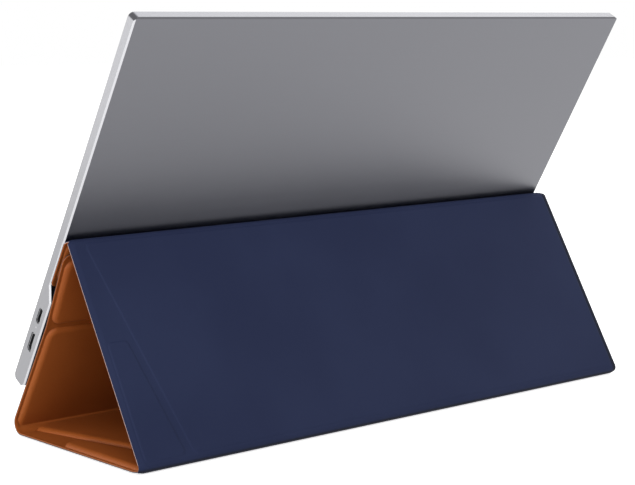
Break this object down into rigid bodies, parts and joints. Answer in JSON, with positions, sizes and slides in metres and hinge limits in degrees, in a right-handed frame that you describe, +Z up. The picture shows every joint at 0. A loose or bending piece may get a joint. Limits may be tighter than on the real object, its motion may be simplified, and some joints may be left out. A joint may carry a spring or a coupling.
{
  "type": "portable monitor with folding cover",
  "caption": "Slim flat monitor leaning on its own leatherette cover, which folds into a triangular prism stand; magnetic hold, side sockets and side keys.",
  "frame": {"origin": "on the surface the cover stands on, in the middle of the whole object's width and depth", "axes": "+Z up, the screen faces -Y and leans back, +X along the width towards the side with the video and USB sockets"},
  "size_m": [0.3644, 0.1216, 0.2256],
  "materials": {
    "navy_leatherette": "fine-grained synthetic leather, semi-matte",
    "tan_lining": "smooth padded synthetic leather with a soft sheen",
    "stiffener": "pressed fibre board, hidden",
    "magnet": "nickel-plated, hidden",
    "housing_metal": "fine-blasted, anodised grey, with a bright edge chamfer",
    "bezel": "matte black",
    "display": "dark screen, switched off",
    "backlight": "white reflector, hidden",
    "circuit_board": "solder mask, hidden",
    "steel": "plain",
    "port_shell": "bright socket shell with a dark tongue",
    "light": "clear light guide",
    "key_metal": "anodised",
    "black_plastic": "moulded",
    "cable_film": "flat film"
  },
  "bodies": {
    "cover_bottom": {"bottom_board": "stiffener", "bottom_gusset_board": "stiffener", "bottom_lining": "tan_lining", "bottom_skin": "navy_leatherette"},
    "cover_slope": {"slope_board": "stiffener", "slope_gusset_board": "stiffener", "slope_lining": "tan_lining", "slope_skin": "navy_leatherette"},
    "cover_attach": {"attach_board": "stiffener", "attach_lining": "tan_lining", "attach_magnets": "magnet", "attach_skin": "navy_leatherette"},
    "monitor": {"backlight_unit": "backlight", "board_screws": "steel", "display_cable": "cable_film", "display_panel": "display", "earphone_jack": "black_plastic", "front_bezel": "bezel", "housing_magnets": "magnet", "key_board": "circuit_board", "key_switches": "black_plastic", "main_board": "circuit_board", "rear_housing": "housing_metal", "shield_can": "steel", "status_light": "light", "upper_housing": "housing_metal", "usb_port": "port_shell", "video_port": "port_shell"},
    "power_button": {"power_button": "key_metal"},
    "menu_rocker": {"menu_rocker": "key_metal"},
    "cover_front": {"front_board": "stiffener", "front_lining": "tan_lining", "front_skin": "navy_leatherette"},
    "cover_flap": {"flap_board": "stiffener", "flap_lining": "tan_lining", "flap_magnets": "magnet", "flap_skin": "navy_leatherette"}
  },
  "joints": [
    {"name": "back_fold", "type": "hinge", "parent": "cover_bottom", "child": "cover_slope", "pos_m": [0, 0.05789, 0.00198], "axis": [-1, 0, 0], "range_deg": [0, 84]},
    {"name": "ridge_fold", "type": "hinge", "parent": "cover_slope", "child": "cover_attach", "pos_m": [0, -0.00361, 0.11118], "axis": [-1, 0, 0], "range_deg": [0, 119]},
    {"name": "monitor_release", "type": "slide", "parent": "cover_attach", "child": "monitor", "axis": [0, -0.8571, 0.5152], "range_m": [0, 0.04]},
    {"name": "power_key_press", "type": "slide", "parent": "monitor", "child": "power_button", "axis": [1, 0, 0], "range_m": [0, 0.0004], "stiffness_N_per_m": 500, "springref_m": -0.001},
    {"name": "menu_key_rock", "type": "hinge", "parent": "monitor", "child": "menu_rocker", "pos_m": [-0.17665, -0.03887, 0.05627], "axis": [0, -0.8571, 0.5152], "range_deg": [-3, 3], "stiffness_Nm_per_rad": 0.02},
    {"name": "front_fold", "type": "hinge", "parent": "cover_bottom", "child": "cover_front", "pos_m": [0, -0.05855, 0.00439], "axis": [-1, 0, 0], "range_deg": [0, 57.1]},
    {"name": "kink_fold", "type": "hinge", "parent": "cover_front", "child": "cover_flap", "pos_m": [0, -0.0246, 0.06352], "axis": [-1, 0, 0], "range_deg": [0, 6]}
  ],
  "couplings": [
    {"joint": "front_fold", "follows": "back_fold", "ratio": 0.6797},
    {"joint": "kink_fold", "follows": "back_fold", "ratio": 0.0714}
  ]
}
